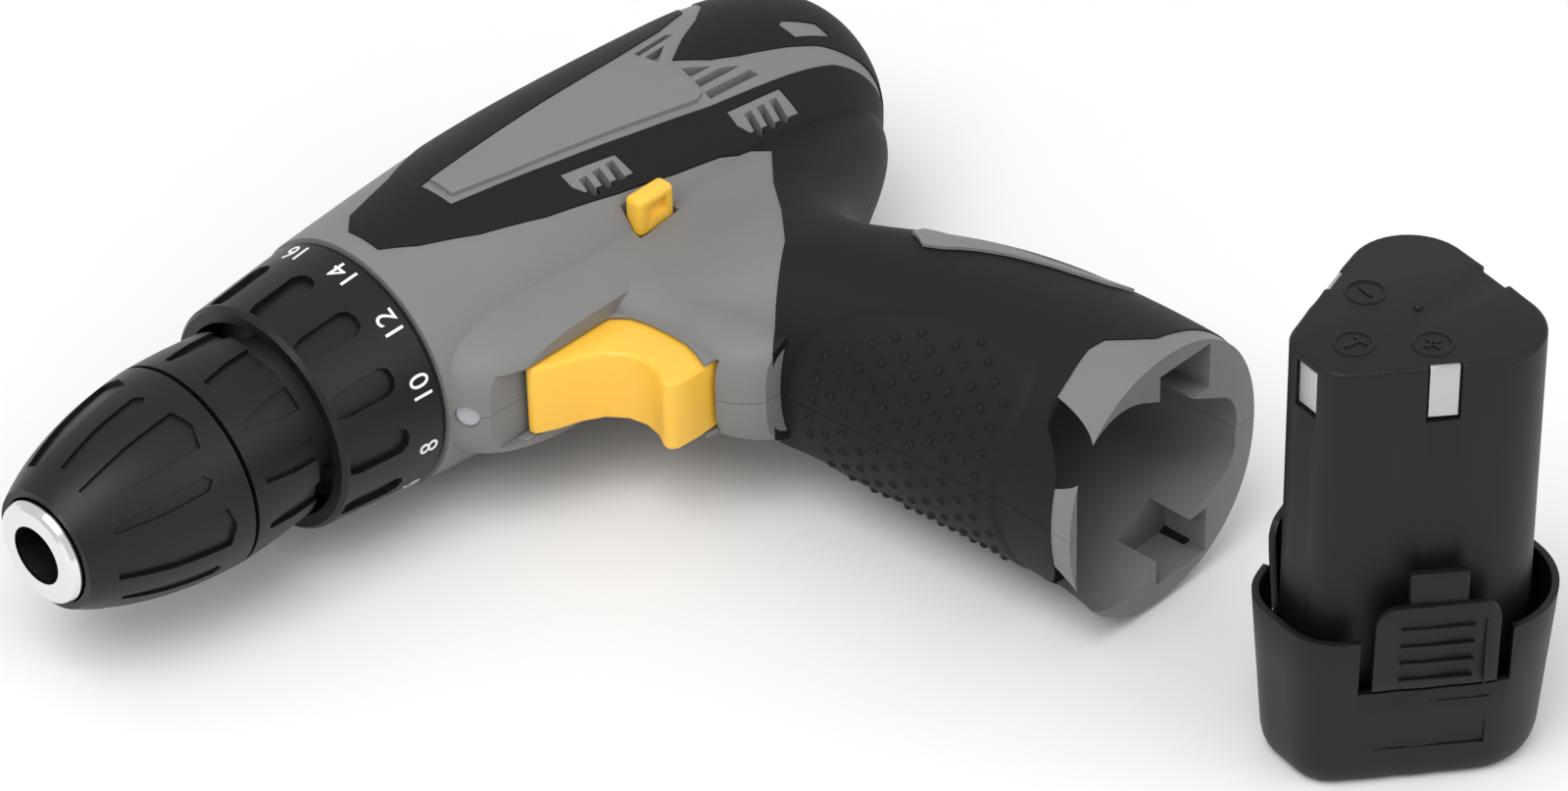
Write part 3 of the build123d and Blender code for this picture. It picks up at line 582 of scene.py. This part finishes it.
# ---- battery pack ------------------------------------------------------------------------------
@dataclass
class Pack:
    """Battery pack: stem, base cup, latches and the marks on top. Sizes in millimetres."""

    turn: float = 167.5              # direction of the narrow corner
    height: float = 77.4
    cup_height: float = 30.0
    cell_ring: float = 10.55
    lobe_r: float = 10.05
    lobe_turn: float = 127.5
    apex_reach: float = 20.1
    apex_half: float = 5.2
    latch_turn: float = 62.0
    latch_half: float = 9.6
    latch_shift: float = 2.4         # sideways, away from the narrow corner
    slot: float = 2.1
    wall: float = 1.15
    slim: float = -0.45              # stem inside its nominal outline
    points: int = 96
    # direction, half width and sideways shift of each contact
    contact_spots: tuple[Point, ...] = ((0.0, 2.1, 0.0), (62.0, 2.25, 2.2), (-62.0, 2.25, -2.2))
    # height and outward growth of the cup's outside, from the foot to the rim
    cup_rows: tuple[tuple[float, float], ...] = (
        (0.0, -1.2), (0.15, -0.4), (0.6, 0.45), (1.3, 1.0), (2.4, 1.45), (4.2, 1.85), (8.0, 2.15),
        (14.0, 2.6), (22.0, 3.25), (30.0, 3.85))

    def reach(self, angle: float, grow: float) -> float:
        """Distance from the pack axis to its rounded triangular outline, in one direction."""
        turns = [math.radians(a) for a in (self.lobe_turn, -self.lobe_turn)]
        spots = [(self.cell_ring * math.cos(a), self.cell_ring * math.sin(a), self.lobe_r) for a in turns]
        small = self.lobe_r * 0.55
        spots += [(self.apex_reach - small, s * self.apex_half * 0.5, small) for s in (1, -1)]
        reaches = []
        for step in range(-84, 86, 2):
            n = angle + math.radians(step)
            support = max(x * math.cos(n) + y * math.sin(n) + r for x, y, r in spots) + grow
            reaches.append(support / math.cos(n - angle))
        return min(reaches)

    def ring(self, grow: float) -> Outline:
        """The outline, grown outwards by an even amount."""
        turns = [2 * math.pi * i / self.points for i in range(self.points)]
        return [(self.reach(a, grow) * math.cos(a), self.reach(a, grow) * math.sin(a)) for a in turns]

    def at(self, angle: float, low: Point, high: Point, edge: float = 0.0) -> bpy.types.Object:
        """Box given by its distance out, sideways and up, in one direction from the pack axis."""
        piece = box(low, high, edge)
        pick(piece)
        piece.matrix_world = Matrix.Rotation(math.radians(angle), 4, "Z")
        bpy.ops.object.transform_apply(location=True, rotation=True, scale=True)
        return piece

    def stem(self) -> bpy.types.Object:
        """Upright case with a rounded top edge, contact pockets and the notch behind."""
        piece = soften(prism(self.ring(self.slim), 3.3, self.height), 0.8, 4, 50)
        for angle, half, shift in self.contact_spots:
            out = self.reach(math.radians(angle), self.slim)
            top = self.height - (1.4 if angle == 0.0 else -1.0)
            carve(piece, self.at(angle, (out - 1.0, shift - half - 0.35, self.height - 9.8),
                                 (out + 3, shift + half + 0.35, top)))
        out = self.reach(math.pi, self.slim)
        carve(piece, self.at(180, (out - 1.2, -3.2, self.height - 1.6), (out + 3, 3.2, self.height + 1)))
        return soften(piece, 0.12, 2, 60)

    def contacts(self) -> bpy.types.Object:
        """Bright contact plates; the side ones fold over the top edge."""
        plates = []
        for angle, half, shift in self.contact_spots:
            out = self.reach(math.radians(angle), self.slim)
            low, top = self.height - 9.1, self.height - (1.9 if angle == 0.0 else 0.25)
            left, right = shift - half, shift + half
            plates.append(self.at(angle, (out - 0.95, left, low), (out - 0.35, right, top), 0.12))
            if angle:
                fold = (out - 0.45, right, top + 0.2)
                plates.append(self.at(angle, (out - 1.9, left, top - 0.5), fold, 0.15))
        return merge(plates)

    def shell(self, top: float) -> bpy.types.Object:
        """Cup wall with its floor, up to a given height."""
        rows = [r for r in self.cup_rows if r[0] < top]
        last_z, last_grow = self.cup_rows[-1]
        rows.append((top, last_grow + (top - last_z) * 0.045))
        deselect()
        bpy.ops.mesh.primitive_circle_add(vertices=self.points, radius=1.0, fill_type="NGON")
        piece = bpy.context.object
        for vertex, spot in zip(piece.data.vertices, self.ring(rows[0][1])):
            vertex.co = (*spot, rows[0][0])
        inside = [(top, rows[-1][1] - self.wall), (3.05, rows[5][1] - self.wall)]
        bpy.ops.object.mode_set(mode="EDIT")
        bpy.ops.mesh.select_all(action="SELECT")
        for z, grow in [*rows[1:], *inside]:
            bpy.ops.mesh.extrude_region_move(TRANSFORM_OT_translate={"value": (0, 0, 0.01)})
            bpy.ops.object.mode_set(mode="OBJECT")
            chosen = [v for v in piece.data.vertices if v.select]
            chosen.sort(key=lambda v: math.atan2(v.co.y, v.co.x) % (2 * math.pi - 1e-6))
            for vertex, spot in zip(chosen, self.ring(grow)):
                vertex.co = (*spot, z)
            bpy.ops.object.mode_set(mode="EDIT")
        bpy.ops.object.mode_set(mode="OBJECT")
        return fix_normals(piece)

    def cup(self) -> bpy.types.Object:
        """Base cup with a slot either side of each latch."""
        piece = self.shell(self.cup_height)
        for angle in (self.latch_turn, -self.latch_turn):
            side, shift = self.latch_half + self.slot, math.copysign(self.latch_shift, angle)
            carve(piece, self.at(angle, (8, shift - side, 19.5), (40, shift + side, 60)))
        soften(piece, 0.2, 2, 50)
        lines = [piece]
        for angle in (self.latch_turn, -self.latch_turn):
            shift = math.copysign(self.latch_shift, angle)
            for low, high, up, top in ((-8.6, 8.6, 16.6, 17.0), (-8.6, 8.6, 7.2, 7.6), (8.2, 8.6, 7.2, 17.0)):
                face = self.reach(math.radians(angle), 0.0) + (2.62 if up > 10 else 2.0)
                corner = (face + 0.28, shift + high, top)
                lines.append(self.at(angle, (face - 1.2, shift + low, up), corner, 0.12))
        return merge(lines)

    def tab_outline(self) -> Outline:
        """Latch tab seen from outside: sideways and up, with round top corners."""
        half, top, corner = self.latch_half, 36.3, 3.4
        points = [(half, 19.95)]
        for centre, start in ((half - corner, 0), (-half + corner, 90)):
            for step in range(7):
                a = math.radians(start + step * 15)
                points.append((centre + corner * math.cos(a), top - corner + corner * math.sin(a)))
        return [*points, (-half, 19.95)]

    def latch(self, angle: float) -> bpy.types.Object:
        """One latch: the tab cut from the cup wall, its raised border, ridges and hook."""
        tab = self.shell(38.0)
        profile = prism(self.tab_outline(), 10, 40)
        pick(profile)
        stand = Matrix(((0, 0, 1, 0), (1, 0, 0, 0), (0, 1, 0, 0), (0, 0, 0, 1)))
        shift = math.copysign(self.latch_shift, angle)
        turn = Matrix.Rotation(math.radians(angle), 4, "Z")
        profile.matrix_world = turn @ Matrix.Translation((0, shift, 0)) @ stand
        bpy.ops.object.transform_apply(location=True, rotation=True, scale=True)
        carve(tab, profile, "INTERSECT")
        soften(tab, 0.35, 3, 50)
        parts = [tab]
        out = self.reach(math.radians(angle), 0.0)
        for index in range(4):
            z = 21.6 + index * 3.4
            face = out + 2.35 + z * 0.062
            corner = (face + 0.18, shift + 5.6, z + 0.55)
            parts.append(self.at(angle, (face - 1.0, shift - 5.6, z), corner, 0.2))
        face = out + 2.35 + 27 * 0.062
        parts.append(self.at(angle, (face - 1.0, shift + 7.2, 20.6), (face + 0.12, shift + 7.5, 33.0), 0.12))
        parts.append(self.at(angle, (out + 1.4, shift - 4.5, 28.0), (out + 3.3, shift + 4.5, 41.8), 0.5))
        return merge(parts)

    def marks(self) -> list[tuple[str, bpy.types.Object]]:
        """Embossed polarity rings and signs on the top face."""
        top = self.height
        made = []
        bars = {"minus": ((2.6, -7.9), [(0, 0.28, 1.4)]),
                "sense": ((12.0, 1.2), [(-1.2, 0.28, 1.4), (0.2, 1.4, 0.28)]),
                "plus": ((2.6, 8.0), [(0, 1.5, 0.28), (0, 0.28, 1.5)])}
        for name, ((x, y), strokes) in bars.items():
            deselect()
            bpy.ops.mesh.primitive_torus_add(major_radius=2.9, minor_radius=0.26, major_segments=48,
                                             minor_segments=8, location=(x, y, top))
            group = [bpy.context.object]
            for shift, half_x, half_y in strokes:
                group.append(box((x + shift - half_x, y - half_y, top - 0.2),
                                 (x + shift + half_x, y + half_y, top + 0.22), 0.08))
            made.append((f"pack_mark_{name}", merge(group)))
        deselect()
        bpy.ops.mesh.primitive_uv_sphere_add(segments=24, ring_count=12, radius=0.8,
                                             location=(-1.3, -0.4, top - 0.1))
        made.append(("pack_centre_pip", bpy.context.object))
        return made

    def build(self) -> None:
        """Every piece of the pack."""
        place = pack_place()
        settle(self.stem(), "pack_stem", "battery", PACK, place,
               stands_for=("battery_case",))
        settle(self.contacts(), "pack_contacts", "battery", NICKEL, place,
               stands_for=("battery_contacts",))
        settle(self.cup(), "pack_cup", "battery", PACK, place,
               stands_for=("battery_base",))
        for angle, label in ((self.latch_turn, "right"), (-self.latch_turn, "left")):
            settle(self.latch(angle), f"latch_moulding_{label}", f"latch_{label}", PACK,
                   place, stands_for=(f"battery_latch_{label}",))
        for name, piece in self.marks():
            settle(piece, name, "battery", PACK, place)


# ---- studio ------------------------------------------------------------------------------------
@dataclass
class Studio:
    """Pale floor, soft lights and the camera."""

    heading: float = 45.487          # camera's view direction, from +Y towards +X, degrees
    elevation: float = 37.0
    roll: float = 1.5545
    distance: float = 0.95
    lens: float = 135.0
    aim: Point = (0.0228, 0.0276, 0.019)

    def camera(self) -> None:
        """Camera at the viewing angle."""
        heading, elevation = math.radians(self.heading), math.radians(self.elevation)
        level = math.cos(elevation)
        forward = Vector((math.sin(heading) * level, math.cos(heading) * level, -math.sin(elevation)))
        data = bpy.data.cameras.new("camera")
        data.lens = self.lens
        data.clip_end = 10
        data.sensor_width = 36.0
        camera = bpy.data.objects.new("camera", data)
        bpy.context.scene.collection.objects.link(camera)
        camera.rotation_mode = "QUATERNION"
        camera.location = Vector(self.aim) - forward * self.distance
        roll = Quaternion(forward, math.radians(self.roll))
        camera.rotation_quaternion = roll @ forward.to_track_quat("-Z", "Y")
        bpy.context.scene.camera = camera

    def lamp(self, name: str, spot: Point, size: float, power: float) -> None:
        """One square softbox aimed at the object."""
        data = bpy.data.lights.new(name, "AREA")
        data.size = size
        data.energy = power
        lamp = bpy.data.objects.new(name, data)
        bpy.context.scene.collection.objects.link(lamp)
        lamp.location = spot
        lamp.rotation_mode = "QUATERNION"
        lamp.rotation_quaternion = (Vector((0, 0, 0.02)) - Vector(spot)).to_track_quat("-Z", "Y")

    def floor(self) -> None:
        """Large pale floor."""
        deselect()
        bpy.ops.mesh.primitive_plane_add(size=6.0, location=(0, 0, 0))
        floor = bpy.context.object
        floor.name = "floor"
        pale = Finish("pale_floor", (0.86, 0.86, 0.86), 0.8, mottle=0.004, depth=0.01, specular=0.1)
        floor.data.materials.append(pale.build())

    def build(self) -> None:
        """World, floor, lights and camera."""
        world = bpy.data.worlds.new("world")
        bpy.context.scene.world = world
        world.use_nodes = True
        background = next(n for n in world.node_tree.nodes if n.type == "BACKGROUND")
        background.inputs["Color"].default_value = (1, 1, 1, 1)
        background.inputs["Strength"].default_value = 0.75
        bpy.context.scene.view_settings.view_transform = "Standard"
        self.floor()
        self.lamp("key_softbox", (-0.5, -0.1, 0.9), 0.7, 6.0)
        self.lamp("fill_softbox", (0.4, -0.9, 0.7), 0.9, 3.0)
        self.camera()


def main() -> None:
    """Build everything in order."""
    logging.basicConfig(level=logging.INFO, format="%(name)s %(message)s")
    dress_cad()
    for group in (Studio(), Collar(), GripPads(), Controls(), Pack()):
        LOG.info("building %s", type(group).__name__)
        group.build()


if __name__ == "__main__":
    main()
